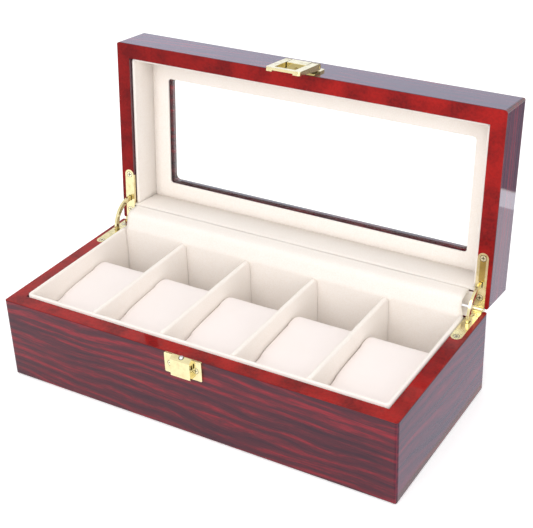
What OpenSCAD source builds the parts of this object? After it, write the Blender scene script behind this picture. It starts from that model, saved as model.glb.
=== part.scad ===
// Five-bay watch box with a glazed lid, quadrant stay hinges and a hasp over a ball catch.
// Millimetres. The origin is the middle of the underside, +X right, +Y back, +Z up.
// Lid parts are drawn closed and then swung open about the hinge axis to their stop.

/* [Body] */
// Length of the box, left to right
box_w = 250; // [235:1:280]
// Depth of the box, front to back
box_d = 115; // [108:1:130]
// Height of the base, from the table to its rim
base_h = 51.3; // [49:0.1:58]
// Height of the lid, from its rim to its top
lid_h = 27.3; // [26:0.1:34]
// Thickness of the wall boards
wall_t = 9; // [8.6:0.1:10]
// Radius of the upright corners
corner_r = 2; // [1:0.1:3]
// Rounding of the rims and of the foot of the base
edge_r = 0.6; // [0.3:0.1:1]
// Rounding of the upper edge of the lid
top_edge_r = 1.5; // [0.8:0.1:2]
// Gap between the two rims when the lid is shut
rim_gap = 0.3; // [0.2:0.1:0.5]
// Thickness of the bottom board
bottom_t = 3; // [2.5:0.1:4]
// Depth of the rebates that hold the bottom board and the window frame
rebate = 4; // [3:0.1:5]
// Thickness of the felt under the bottom
felt_t = 0.8; // [0.5:0.1:1.5]
// Distance from the felt's edge to the outside of the box
felt_inset = 4; // [3:0.1:8]

/* [Lining] */
// Thickness of the padded linings on the left and right of the base
side_lining_t = 2.5; // [2:0.1:3]
// Thickness of the padded lining on the front of the base
front_lining_t = 2.7; // [2:0.1:3]
// Thickness of the padded lining on the back of the base
back_lining_t = 3.3; // [2.8:0.1:4]
// Thickness of the floor lining
floor_lining_t = 2; // [1.5:0.1:3]
// Height of the lining's lip above the rim of the base
lip_h = 1.7; // [1.2:0.1:1.8]
// Set-back of the lip from the wood
lip_inset = 0.4; // [0.3:0.1:0.6]
// Thickness of the linings inside the lid
lid_lining_t = 2; // [1.5:0.1:2.2]
// Distance from the rim of the lid down to its front and side linings
lid_lining_recess = 2.2; // [2.1:0.1:3]
// Distance from the rim of the lid down to its back lining
lid_back_recess = 0.4; // [0.3:0.1:1]
// Thickness of the lining round the window
ceiling_t = 1.3; // [1:0.1:2]

/* [Bays] */
// Thickness of a divider
divider_t = 3; // [2:0.1:4]
// Height of a divider's rounded top above the rim
divider_rise = 1.5; // [1:0.1:1.6]
// Gap between a divider and the back lining
divider_gap = 0.5; // [0.3:0.1:1]
// Size of the cut at a divider's upper back corner, which the flap swings past
divider_notch = 1.6; // [1.2:0.1:3]
// Gap at each side of a pillow
pillow_gap = 0.5; // [0.3:0.1:1.5]
// Length of a pillow, front to back
pillow_l = 68; // [60:1:78]
// Height of a pillow at its back edge
pillow_h = 37; // [33:0.1:41]
// Drop from the back edge of a pillow to its rounded front
pillow_drop = 6; // [2:0.1:8]
// Softness of a pillow's sides: how far they draw in
pillow_crown = 3; // [2:0.1:5]

/* [Window] */
// Width of the wooden frame round the window
window_border = 24; // [21:0.1:28]
// Distance by which the window lies nearer the hinges than the front
window_back = 1.3; // [0:0.1:3]
// Width of the wooden frame that shows between the lining and the opening
window_reveal = 1.8; // [0.5:0.1:3]
// Corner radius of the window
window_r = 3; // [2:0.1:6]
// Thickness of the window frame
frame_t = 4.5; // [4:0.1:6]
// Thickness of the glass
glass_t = 2; // [1.5:0.1:3]
// How far the glass reaches under the frame
glass_lap = 5; // [3:0.1:7]
// Gap round the edge of the glass
glass_gap = 0.3; // [0.2:0.1:0.6]

/* [Hinges] */
// Angle at which the stays stop the open lid
lid_open = 95; // [88:1:97]
// Distance from the back of the box to the hinge axis
hinge_back = 0.6; // [0.5:0.1:0.9]
// Width of a hinge leaf
leaf_w = 6.4; // [5.6:0.1:7]
// Thickness of a hinge leaf
leaf_t = 1.8; // [1.4:0.1:2]
// Length of a hinge leaf, from the axis to its tip
leaf_l = 34; // [30:1:40]
// Distance from the axis to a leaf's near screw
leaf_screw_in = 7; // [6:0.5:9]
// Radius of the knuckles
knuckle_r = 1.9; // [1.8:0.05:2.1]
// Radius of the hinge pins
hinge_pin_r = 0.9; // [0.6:0.05:1.1]
// Radial clearance where a knuckle turns on a pin
run_gap = 0.05; // [0.02:0.01:0.08]
// Gap round a knuckle where it passes wood or the other leaf
knuckle_gap = 0.25; // [0.2:0.05:0.4]
// Radius of the curved stay, about the hinge axis
stay_r = 15; // [13:0.1:17]
// Radial width of the stay
stay_w = 3; // [2.4:0.1:3.4]
// Thickness of the stay
stay_t = 1.6; // [1.2:0.1:2]
// Radius of the stay's two stop heads
stay_head_r = 1.9; // [1.8:0.1:2.2]
// Gap round the stay in its slots and pockets
stay_gap = 0.3; // [0.2:0.1:0.4]

/* [Catch] */
// Width of the catch plate
catch_w = 23.7; // [22:0.1:27]
// Height of the catch plate
catch_h = 12.2; // [12:0.1:14]
// Thickness of the catch and latch plates
plate_t = 1.2; // [1:0.1:1.5]
// Width of the catch block
block_w = 12.5; // [11.5:0.1:13]
// Height of the catch block
block_h = 12; // [11:0.1:12.5]
// How far the catch block stands out from the wood
block_out = 4; // [4:0.1:4.4]
// Height of the spring's shelf above the foot of the block
shelf_up = 4; // [3.5:0.1:4.5]
// Height of the catch block's top above the rim
block_rise = 0.6; // [0.4:0.1:0.7]
// Thickness of the sheet that the block is folded from
sheet_t = 0.8; // [0.6:0.1:0.9]
// Radius of the steel ball
ball_r = 1.25; // [1.15:0.05:1.25]
// Distance from the wood to the middle of the ball
ball_out = 1.9; // [1.8:0.05:2]
// How far the ball stands above the block
ball_rise = 0.7; // [0.55:0.05:0.75]
// Gap round the ball in its seat
ball_gap = 0.05; // [0.03:0.01:0.08]
// Radius of the spring wire
wire_r = 0.2; // [0.15:0.05:0.25]
// Number of turns in the spring
spring_turns = 6; // [4:1:8]

/* [Latch] */
// Width of the latch plate
latch_w = 23.5; // [22:0.1:27]
// Height of the latch plate
latch_h = 12; // [11:0.1:14]
// Distance from the rim of the lid to the latch plate
latch_up = 0.6; // [0.5:0.05:0.8]
// Width of the hasp
hasp_w = 21.8; // [20:0.1:22]
// Length of the hasp, from its pin to its free edge
hasp_l = 22.6; // [21.8:0.1:24]
// Width of the hasp's free bar
bar_w = 2.9; // [2:0.1:3]
// Thickness of the hasp's free bar
bar_t = 1.5; // [1:0.1:1.6]
// Thickness of the hasp at its free edge, side bars included
hasp_t = 2.3; // [2:0.1:2.5]
// Radius of the hasp's knuckles
hasp_knuckle_r = 2; // [1.8:0.1:2.2]
// Radius of the latch pin
latch_pin_r = 0.7; // [0.5:0.05:0.9]
// Height of the latch pin above the rim of the lid
latch_pin_up = 7.3; // [7:0.1:8]
// Gap between the hasp and the metal beside it
hasp_gap = 0.35; // [0.25:0.05:0.5]
// Angle by which the open hasp stands off its latched place
hasp_lift = 5.5; // [5.2:0.1:10]

/* [Screws] */
// Radius of a screw head
screw_head_r = 1.7; // [1.4:0.1:1.9]
// Height of a countersunk screw head
screw_head_h = 1; // [0.8:0.1:1.1]
// Radius of a screw's shank
screw_r = 0.9; // [0.6:0.1:1]
// Length of a screw
screw_l = 7; // [5:0.5:7.5]
// Width of the cross slots in a screw head
slot_w = 0.45; // [0.3:0.05:0.6]
// Depth of the cross slots in a screw head
slot_depth = 0.7; // [0.4:0.05:0.75]

/* [Hidden] */
$fn = 48;
bays = 5;
eps = 0.01;
// gap between fixed metal parts that stand side by side
fit_gap = 0.05;

inner_w = box_w - 2 * wall_t;
inner_d = box_d - 2 * wall_t;
lid_z = base_h + rim_gap;
lid_top = lid_z + lid_h;

floor_z = felt_t + bottom_t + floor_lining_t;
bay_space = inner_w - 2 * side_lining_t;
bay_w = (bay_space - (bays - 1) * divider_t) / bays;
bay_pitch = bay_w + divider_t;
bay_front = -inner_d / 2 + front_lining_t;
bay_back = inner_d / 2 - back_lining_t;

frame_z = lid_top - frame_t;
ceiling_z = frame_z - ceiling_t;
window_w = box_w - 2 * window_border;
window_d = box_d - 2 * window_border;

axis_y = box_d / 2 + hinge_back;
axis_z = base_h + rim_gap / 2;
leaf_x = inner_w / 2 + leaf_w / 2;
knuckle_len = leaf_w / 2 - run_gap;
leaf_screws = [-(leaf_l - leaf_w / 2), -leaf_screw_in];
// half angle of the slot that a leaf has for the stay, and the spare angle in the pockets
slot_reach = 40;
pocket_spare = 3;
// angle that the stay's head and the leaf's thickness take up beyond the rim
stay_tail = asin(stay_head_r / stay_r) + asin((leaf_t + rim_gap / 2 + stay_gap) / stay_r);
stay_end = lid_open / 2 + stay_tail + asin(stay_head_r / stay_r) + pocket_spare;

front_y = -box_d / 2;
catch_z = base_h - catch_h;
block_top = base_h + block_rise;
block_front = front_y - block_out;
ball_y = front_y - ball_out;
ball_z = block_top + ball_rise - ball_r;
spring_r = ball_r - 2 * wire_r - ball_gap;
shelf_z = block_top - block_h + shelf_up;
spring_z0 = shelf_z + wire_r;
spring_z1 = ball_z - sqrt(ball_r * ball_r - spring_r * spring_r) - 2 * wire_r;
catch_screw_x = block_w / 2 + screw_head_r + fit_gap;

latch_z = lid_z + latch_up;
latch_pin_z = lid_z + latch_pin_up;
// gaps between the latch plate and the hasp's knuckles and back
knuckle_back = 0.2;
hasp_back = 0.3;
latch_pin_y = front_y - plate_t - hasp_knuckle_r - knuckle_back;
hasp_in = front_y - plate_t - hasp_back;
cheek_x = block_w / 2 + hasp_gap;
tongue_x = block_w / 2 - fit_gap;
latch_screw_x = (cheek_x + hasp_w / 2) / 2;
latch_screw_z = latch_z + latch_h / 4;
plate_corner_r = 0.8;
hasp_corner_r = 1.5;

// crease of the rear flap, and its section from the crease to the free edge
flap_t = 1.2;
flap_side_gap = 0.3;
crease = [bay_back + 0.2, base_h + 0.7];
flap_path = [
    crease + [0.2, 0.3],
    crease + [1.5, 3.8],
    crease + [2.6, 7.6],
    crease + [3.6, 9.4],
    crease + [5.4, 10.2],
    crease + [12.1, 10.4]
];
flap_w = bay_space - 2 * flap_side_gap;

wood = [0.36, 0.08, 0.12];
wood_rim = [0.66, 0.08, 0.1];
velvet = [0.95, 0.91, 0.85];
pad = [0.98, 0.95, 0.91];
brass = [0.87, 0.73, 0.36];
steel = [0.75, 0.76, 0.78];
felt = [0.25, 0.2, 0.2];
clear_glass = [0.85, 0.93, 0.95, 0.35];

// ---- shared shapes ----

// rectangle about the origin with rounded corners
module rounded_rect(w, d, r) {
    square([w - 2 * r, d], center = true);
    square([w, d - 2 * r], center = true);
    for (x = [-1, 1], y = [-1, 1])
        translate([x * (w / 2 - r), y * (d / 2 - r)]) circle(r);
}

// section of a board: outer face at x = 0, its lower and upper outer edges rounded
module board_section(h, r_low, r_high) {
    difference() {
        square([wall_t, h]);
        difference() {
            square(r_low);
            translate([r_low, r_low]) circle(r_low);
        }
        translate([0, h - r_high]) difference() {
            square(r_high);
            translate([r_high, 0]) circle(r_high);
        }
    }
}

// extrudes a (y, z) section along X, centred
module along_x(len) {
    rotate([90, 0, 90]) linear_extrude(len, center = true) children();
}

// wall board with mitred ends, standing on z = 0 with its outer face at y = 0
module mitred_board(len, h, r_low, r_high) {
    intersection() {
        along_x(len) board_section(h, r_low, r_high);
        linear_extrude(h) polygon([
            [-len / 2, 0], [len / 2, 0],
            [len / 2 - wall_t, wall_t], [-len / 2 + wall_t, wall_t]
        ]);
    }
}

// one wall of a four-board case: 0 front, 1 right, 2 back, 3 left
module case_wall(side, z0, h, r_low, r_high) {
    len = side % 2 == 0 ? box_w : box_d;
    reach = side % 2 == 0 ? box_d / 2 : box_w / 2;
    intersection() {
        translate([0, 0, z0]) rotate(90 * side) translate([0, -reach, 0])
            mitred_board(len, h, r_low, r_high);
        translate([0, 0, z0]) linear_extrude(h) rounded_rect(box_w, box_d, corner_r);
    }
}

// flat board about the Z axis
module slab(w, d, z0, t) {
    translate([-w / 2, -d / 2, z0]) cube([w, d, t]);
}

// swings lid parts from shut to open
module swung_open() {
    translate([0, axis_y, axis_z]) rotate([-lid_open, 0, 0])
        translate([0, -axis_y, -axis_z]) children();
}

// puts a part drawn about the hinge axis at the left (-1) or right (1) hinge
module at_hinge(side) {
    translate([side * leaf_x, axis_y, axis_z]) scale_x(side) children();
}

module scale_x(side) {
    if (side < 0) mirror([1, 0, 0]) children();
    else children();
}

// flips a hinge part from the base side to the lid side of the rim gap
module lid_side() {
    mirror([0, 0, 1]) children();
}

// screw with its head's top at z = 0, pointing down
module screw() {
    difference() {
        union() {
            translate([0, 0, -screw_head_h])
                cylinder(h = screw_head_h, r1 = screw_r, r2 = screw_head_r);
            translate([0, 0, -screw_l]) cylinder(h = screw_l - screw_head_h + eps, r = screw_r);
        }
        for (turn = [0, 90])
            rotate(turn) translate([0, 0, eps - slot_depth / 2])
                cube([1.4 * screw_head_r, slot_w, slot_depth], center = true);
    }
}

// room for a screw in the metal and the wood under it
module screw_hole() {
    translate([0, 0, -screw_head_h])
        cylinder(h = screw_head_h, r1 = screw_r, r2 = screw_head_r);
    translate([0, 0, -screw_l]) cylinder(h = screw_l, r = screw_r);
}

// ---- hinge parts, drawn about the hinge axis with the base below ----

module leaf_plan() {
    straight = leaf_l - leaf_w / 2;
    translate([-leaf_w / 2, -straight]) square([leaf_w, straight]);
    translate([0, -straight]) circle(leaf_w / 2);
}

module leaf_plate(extra) {
    translate([0, 0, -rim_gap / 2 - leaf_t]) linear_extrude(leaf_t + extra) leaf_plan();
}

// knuckle on one half of the leaf: -1 towards the bays, 1 towards the outside
module knuckle(half, r) {
    translate([half * leaf_w / 4, 0, 0]) rotate([0, 90, 0])
        cylinder(h = knuckle_len, r = r, center = true);
}

// arc about the hinge axis, from one angle to the other, measured up from the front
module arc_band(r, w, t, low, high) {
    steps = 8;
    reach = 2 * (r + w);
    along_x(t) intersection() {
        difference() {
            circle(r + w / 2);
            circle(r - w / 2);
        }
        polygon(concat([[0, 0]], [
            for (k = [0:steps])
                let (a = low + (high - low) * k / steps) [-reach * cos(a), reach * sin(a)]
        ]));
    }
}

module leaf(half) {
    difference() {
        union() {
            leaf_plate(0);
            knuckle(half, knuckle_r);
        }
        translate([-half * leaf_w / 4, 0, 0]) rotate([0, 90, 0])
            cylinder(h = leaf_w / 2, r = knuckle_r + knuckle_gap, center = true);
        arc_band(stay_r, stay_w + 2 * stay_gap, stay_t + 2 * stay_gap, -slot_reach, slot_reach);
        for (y = leaf_screws) translate([0, y, -rim_gap / 2]) screw_hole();
        rotate([0, 90, 0]) cylinder(
            h = leaf_w + 1, r = hinge_pin_r + (half > 0 ? run_gap : 0), center = true);
    }
}

// everything that one hinge takes out of the wood below it
module hinge_recess() {
    leaf_plate(rim_gap);
    rotate([0, 90, 0])
        cylinder(h = leaf_w + 2 * knuckle_gap, r = knuckle_r + knuckle_gap, center = true);
    arc_band(stay_r, 2 * (stay_head_r + stay_gap), stay_t + 2 * stay_gap, -stay_end, 1);
    for (y = leaf_screws) translate([0, y, -rim_gap / 2]) screw_hole();
}

module base_hinge_recesses() {
    for (side = [-1, 1]) at_hinge(side) hinge_recess();
}

module lid_hinge_recesses() {
    for (side = [-1, 1]) at_hinge(side) lid_side() hinge_recess();
}

module hinge_screws() {
    for (side = [-1, 1], y = leaf_screws)
        at_hinge(side) translate([0, y, -rim_gap / 2]) screw();
}

// ---- base ----

module base_wall(side) {
    color(wood) difference() {
        case_wall(side, felt_t, base_h - felt_t, edge_r, edge_r);
        slab(inner_w + 2 * rebate, inner_d + 2 * rebate, 0, felt_t + bottom_t);
        if (side > 0) base_hinge_recesses();
        if (side == 0) catch_screw_holes();
    }
}

module base_front_panel() { base_wall(0); }

module base_right_panel() { base_wall(1); }

module base_back_panel() { base_wall(2); }

module base_left_panel() { base_wall(3); }

module base_bottom_panel() {
    color(wood) slab(inner_w + 2 * rebate, inner_d + 2 * rebate, felt_t, bottom_t);
}

module base_felt() {
    color(felt) linear_extrude(felt_t)
        rounded_rect(box_w - 2 * felt_inset, box_d - 2 * felt_inset, corner_r + 1);
}

module floor_lining() {
    color(velvet) slab(inner_w, inner_d, felt_t + bottom_t, floor_lining_t);
}

// padded strip along X: wood side at y = 0, with a rounded lip above the rim
module lipped_liner(len, t, lip) {
    lip_w = t - lip_inset;
    along_x(len) square([t, base_h - floor_z]);
    if (lip > 0)
        translate([0, lip_inset, base_h - floor_z]) along_x(len - 2 * lip_inset) {
            square([lip_w, lip - lip_w / 2]);
            translate([lip_w / 2, lip - lip_w / 2]) circle(lip_w / 2);
        }
}

module base_liner_front() {
    color(velvet) translate([0, -inner_d / 2, floor_z]) lipped_liner(inner_w, front_lining_t, lip_h);
}

module base_liner_back() {
    color(velvet) translate([0, inner_d / 2, floor_z]) rotate(180)
        lipped_liner(inner_w, back_lining_t, 0);
}

module side_liner(side) {
    color(velvet) translate([side * inner_w / 2, (bay_front + bay_back) / 2, floor_z])
        rotate(90 * side) lipped_liner(bay_back - bay_front, side_lining_t, lip_h);
}

module base_liner_left() { side_liner(-1); }

module base_liner_right() { side_liner(1); }

// upright board with a rounded top between two bays, notched where the flap passes
module divider(n) {
    end = bay_back - divider_gap;
    h = base_h + divider_rise - floor_z;
    x = (n - bays / 2) * bay_pitch;
    color(velvet) translate([x, 0, floor_z]) difference() {
        translate([0, bay_front, 0]) rotate([90, 0, 180]) linear_extrude(end - bay_front) {
            translate([-divider_t / 2, 0]) square([divider_t, h - divider_t / 2]);
            translate([0, h - divider_t / 2]) circle(divider_t / 2);
        }
        translate([0, end, h]) rotate([45, 0, 0])
            cube([divider_t + 1, sqrt(2) * divider_notch, sqrt(2) * divider_notch], center = true);
    }
}

// ---- pillows ----

// side view of a pillow, drawn in by inset all round; z = 0 is the bay's floor
module pillow_section(inset) {
    front = bay_front + pillow_gap;
    back = front + pillow_l;
    foot_r = 0.16 * pillow_h;
    nose_r = 0.3 * pillow_h;
    crown_r = 0.3 * pillow_h;
    tail_r = 0.18 * pillow_h;
    hull() {
        translate([front + foot_r, foot_r]) circle(foot_r - inset, $fn = 24);
        translate([back - foot_r, foot_r]) circle(foot_r - inset, $fn = 24);
        translate([front + nose_r, pillow_h - nose_r - pillow_drop])
            circle(nose_r - inset, $fn = 32);
        translate([front + pillow_l / 2, pillow_h - crown_r - pillow_drop / 3])
            circle(crown_r - inset, $fn = 32);
        translate([back - tail_r, pillow_h - tail_r]) circle(tail_r - inset, $fn = 32);
    }
}

// padded cushion of one bay, whose sides draw in towards its ends
module pillow(n) {
    w = bay_w - 2 * pillow_gap;
    x = (n - (bays + 1) / 2) * bay_pitch;
    color(pad) translate([x, 0, floor_z + 0.1]) hull() {
        along_x(w - 2 * pillow_crown) pillow_section(0);
        along_x(w - 0.6 * pillow_crown) pillow_section(0.35 * pillow_crown);
        along_x(w) pillow_section(pillow_crown);
    }
}

// ---- rear flap ----

module rear_flap() {
    color(velvet) along_x(flap_w)
        for (k = [0:len(flap_path) - 2])
            hull() {
                translate(flap_path[k]) circle(flap_t / 2, $fn = 16);
                translate(flap_path[k + 1]) circle(flap_t / 2, $fn = 16);
            }
}

// ---- hinges ----

module hinge_base_leaf_left() { color(brass) at_hinge(-1) leaf(-1); }

module hinge_base_leaf_right() { color(brass) at_hinge(1) leaf(-1); }

module hinge_lid_leaf_left() { color(brass) swung_open() at_hinge(-1) lid_side() leaf(1); }

module hinge_lid_leaf_right() { color(brass) swung_open() at_hinge(1) lid_side() leaf(1); }

module hinge_pin(side) {
    color(brass) at_hinge(side) rotate([0, 90, 0])
        cylinder(h = leaf_w - run_gap, r = hinge_pin_r, center = true);
}

module hinge_pin_left() { hinge_pin(-1); }

module hinge_pin_right() { hinge_pin(1); }

// curved stay with a round stop head at each end, shown with the lid open
module stay_arm(side) {
    low = -stay_tail;
    high = lid_open + stay_tail;
    color(brass) at_hinge(side) {
        arc_band(stay_r, stay_w, stay_t, low, high);
        for (a = [low, high])
            along_x(stay_t) translate([-stay_r * cos(a), stay_r * sin(a)]) circle(stay_head_r);
    }
}

module stay_arm_left() { stay_arm(-1); }

module stay_arm_right() { stay_arm(1); }

module base_hinge_screws() { color(brass) hinge_screws(); }

module lid_hinge_screws() {
    color(brass) swung_open()
        for (side = [-1, 1], y = leaf_screws)
            at_hinge(side) lid_side() translate([0, y, -rim_gap / 2]) screw();
}

// ---- catch on the base ----

// turns a screw to point into the front of the box, its head's top on a plate
module into_front(x, z) {
    translate([x, front_y - plate_t, z]) rotate([90, 0, 0]) children();
}

module catch_screw_places() {
    for (side = [-1, 1]) into_front(side * catch_screw_x, catch_z + catch_h / 2) children();
}

module catch_screw_holes() { catch_screw_places() screw_hole(); }

// plate with a shelf for the spring and a hollow behind the ball
module catch_plate() {
    shelf_w = 2.5 * ball_r;
    color(brass) difference() {
        union() {
            translate([0, front_y, catch_z + catch_h / 2]) rotate([90, 0, 0])
                linear_extrude(plate_t) rounded_rect(catch_w, catch_h, plate_corner_r);
            translate([-shelf_w / 2, block_front + sheet_t, shelf_z - sheet_t])
                cube([shelf_w, block_out - sheet_t, sheet_t]);
        }
        translate([0, ball_y, shelf_z]) cylinder(h = block_h, r = ball_r + ball_gap);
        catch_screw_holes();
    }
}

module block_section(inset) {
    chamfer = 0.6;
    back = front_y - plate_t;
    front = block_front + inset;
    top = block_top - inset;
    low = block_top - block_h;
    polygon([
        [back, low], [front, low], [front, top - chamfer], [front + chamfer, top], [back, top]
    ]);
}

// folded box that is open below and behind, with a slot in each cheek
module catch_block() {
    slot_y = (block_front + front_y - plate_t + sheet_t) / 2;
    slot_r = 0.06 * block_h;
    slot_low = shelf_z + 0.2 * block_h;
    slot_high = shelf_z + 0.35 * block_h;
    color(brass) difference() {
        along_x(block_w) block_section(0);
        along_x(block_w - 2 * sheet_t) block_section(sheet_t);
        translate([0, ball_y, ball_z]) sphere(ball_r + ball_gap);
        translate([0, ball_y, ball_z - block_h]) cylinder(h = block_h, r = ball_r + ball_gap);
        for (z = [slot_low, slot_high])
            translate([0, slot_y, z]) rotate([0, 90, 0])
                cylinder(h = block_w + 1, r = slot_r, center = true);
        translate([0, slot_y, (slot_low + slot_high) / 2])
            cube([block_w + 1, 2 * slot_r, slot_high - slot_low], center = true);
    }
}

module catch_ball() { color(steel) translate([0, ball_y, ball_z]) sphere(ball_r); }

// round wire wound about the Z axis, as rings of points joined by quads
module catch_spring() {
    sides = 8;
    per_turn = 12;
    rings = spring_turns * per_turn;
    function ring_point(k, s) =
        let (turn = 360 * k / per_turn, a = 360 * s / sides)
        let (r = spring_r + wire_r * cos(a))
        [r * cos(turn), r * sin(turn), (spring_z1 - spring_z0) * k / rings + wire_r * sin(a)];
    points = [for (k = [0:rings], s = [0:sides - 1]) ring_point(k, s)];
    walls = [
        for (k = [0:rings - 1], s = [0:sides - 1])
            [k * sides + s, (k + 1) * sides + s, (k + 1) * sides + (s + 1) % sides,
             k * sides + (s + 1) % sides]
    ];
    ends = [[for (s = [0:sides - 1]) s], [for (s = [0:sides - 1]) (rings + 1) * sides - 1 - s]];
    color(steel) translate([0, ball_y, spring_z0]) polyhedron(points, concat(walls, ends));
}

module catch_screws() { color(brass) catch_screw_places() screw(); }

// ---- lid ----

module lid_wall(side) {
    color(wood) swung_open() difference() {
        case_wall(side, lid_z, lid_h, edge_r, top_edge_r);
        slab(inner_w + 2 * rebate, inner_d + 2 * rebate, frame_z, frame_t + 1);
        if (side > 0) lid_hinge_recesses();
        if (side == 0) latch_screw_holes();
    }
}

module lid_front_panel() { lid_wall(0); }

module lid_right_panel() { lid_wall(1); }

module lid_back_panel() { lid_wall(2); }

module lid_left_panel() { lid_wall(3); }

// frame let into the top of the lid, rebated below for the glass
module lid_top_frame() {
    color(wood) swung_open() difference() {
        slab(inner_w + 2 * rebate, inner_d + 2 * rebate, frame_z, frame_t);
        translate([0, window_back, frame_z - 1]) linear_extrude(frame_t + 2)
            rounded_rect(window_w, window_d, window_r);
        translate([0, window_back, 0])
            slab(window_w + 2 * glass_lap, window_d + 2 * glass_lap, frame_z - 1, glass_t + 1);
    }
}

module glass_pane() {
    lap = 2 * (glass_lap - glass_gap);
    color(clear_glass) swung_open() translate([0, window_back, 0])
        slab(window_w + lap, window_d + lap, frame_z, glass_t);
}

module ceiling_lining() {
    color(velvet) swung_open() difference() {
        slab(inner_w, inner_d, ceiling_z, ceiling_t);
        translate([0, window_back, 0]) slab(
            window_w + 2 * window_reveal, window_d + 2 * window_reveal,
            ceiling_z - 1, ceiling_t + 2);
    }
}

// lining strips inside the lid: front and back run full length, the sides between them
module lid_liner(side) {
    fore_aft = side % 2 == 0;
    len = fore_aft ? inner_w : inner_d - 2 * lid_lining_t;
    reach = fore_aft ? inner_d / 2 : inner_w / 2;
    z0 = lid_z + (side == 2 ? lid_back_recess : lid_lining_recess);
    color(velvet) swung_open() rotate(90 * side) translate([-len / 2, -reach, z0])
        cube([len, lid_lining_t, ceiling_z - z0]);
}

module lid_liner_front() { lid_liner(0); }

module lid_liner_right() { lid_liner(1); }

module lid_liner_back() { lid_liner(2); }

module lid_liner_left() { lid_liner(3); }

// ---- latch on the lid ----

module latch_screw_places() {
    for (side = [-1, 1]) into_front(side * latch_screw_x, latch_screw_z) children();
}

module latch_screw_holes() { latch_screw_places() screw_hole(); }

// plate with the tongue that carries the pin; a dimple in its end takes the ball
module latch_plate() {
    back = front_y - plate_t;
    color(brass) swung_open() difference() {
        union() {
            translate([0, front_y, latch_z + latch_h / 2]) rotate([90, 0, 0])
                linear_extrude(plate_t) rounded_rect(latch_w, latch_h, plate_corner_r);
            along_x(2 * tongue_x) {
                translate([latch_pin_y, latch_pin_z]) circle(hasp_knuckle_r);
                translate([latch_pin_y - hasp_knuckle_r, latch_z])
                    square([back - latch_pin_y + hasp_knuckle_r, latch_pin_z - latch_z]);
            }
        }
        translate([0, ball_y, ball_z]) sphere(ball_r + 5 * ball_gap);
        translate([0, latch_pin_y, latch_pin_z]) rotate([0, 90, 0])
            cylinder(h = hasp_w, r = latch_pin_r, center = true);
        latch_screw_holes();
    }
}

module latch_pin() {
    color(brass) swung_open() translate([0, latch_pin_y, latch_pin_z]) rotate([0, 90, 0])
        cylinder(h = hasp_w - hasp_gap, r = latch_pin_r, center = true);
}

module latch_screws() { color(brass) swung_open() latch_screw_places() screw(); }

// tapered plate of the hasp in its latched place, with its knuckle along the pin
module hasp_body() {
    free_z = latch_pin_z - hasp_l;
    top_z = latch_pin_z + hasp_knuckle_r / 4;
    translate([0, latch_pin_y, latch_pin_z]) rotate([0, 90, 0])
        cylinder(h = hasp_w, r = hasp_knuckle_r, center = true);
    along_x(hasp_w) polygon([
        [hasp_in, top_z], [hasp_in, free_z],
        [hasp_in - hasp_t, free_z], [latch_pin_y - 0.95 * hasp_knuckle_r, top_z]
    ]);
}

// frame with two knuckles; its free bar is thinner, so that it clears the block
module hasp() {
    free_z = latch_pin_z - hasp_l;
    bar_z = free_z + bar_w;
    color(brass) swung_open()
        translate([0, latch_pin_y, latch_pin_z]) rotate([-hasp_lift, 0, 0])
            translate([0, -latch_pin_y, -latch_pin_z]) difference() {
                intersection() {
                    hasp_body();
                    translate([0, 0, free_z + hasp_l]) rotate([90, 0, 0])
                        linear_extrude(box_d) rounded_rect(hasp_w, 2 * hasp_l, hasp_corner_r);
                }
                translate([-cheek_x, -box_d, bar_z]) cube([2 * cheek_x, box_d, hasp_l]);
                translate([-cheek_x, hasp_in - hasp_t + bar_t, free_z - 1])
                    cube([2 * cheek_x, hasp_t, bar_w + 1 + eps]);
                translate([0, latch_pin_y, latch_pin_z]) rotate([0, 90, 0])
                    cylinder(h = hasp_w + 1, r = latch_pin_r + run_gap, center = true);
            }
}

base_front_panel();
base_back_panel();
base_left_panel();
base_right_panel();
base_bottom_panel();
base_felt();
floor_lining();
base_liner_front();
base_liner_back();
base_liner_left();
base_liner_right();
divider(1);  // divider_1
divider(2);  // divider_2
divider(3);  // divider_3
divider(4);  // divider_4
pillow(1);  // pillow_1
pillow(2);  // pillow_2
pillow(3);  // pillow_3
pillow(4);  // pillow_4
pillow(5);  // pillow_5
rear_flap();
hinge_base_leaf_left();
hinge_base_leaf_right();
hinge_lid_leaf_left();
hinge_lid_leaf_right();
hinge_pin_left();
hinge_pin_right();
stay_arm_left();
stay_arm_right();
base_hinge_screws();
lid_hinge_screws();
catch_plate();
catch_block();
catch_ball();
catch_spring();
catch_screws();
lid_front_panel();
lid_back_panel();
lid_left_panel();
lid_right_panel();
lid_top_frame();
glass_pane();
ceiling_lining();
lid_liner_front();
lid_liner_back();
lid_liner_left();
lid_liner_right();
latch_plate();
latch_pin();
latch_screws();
hasp();
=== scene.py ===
import math
import bpy
import bmesh
import numpy as np
from mathutils import Matrix, Vector


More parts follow.
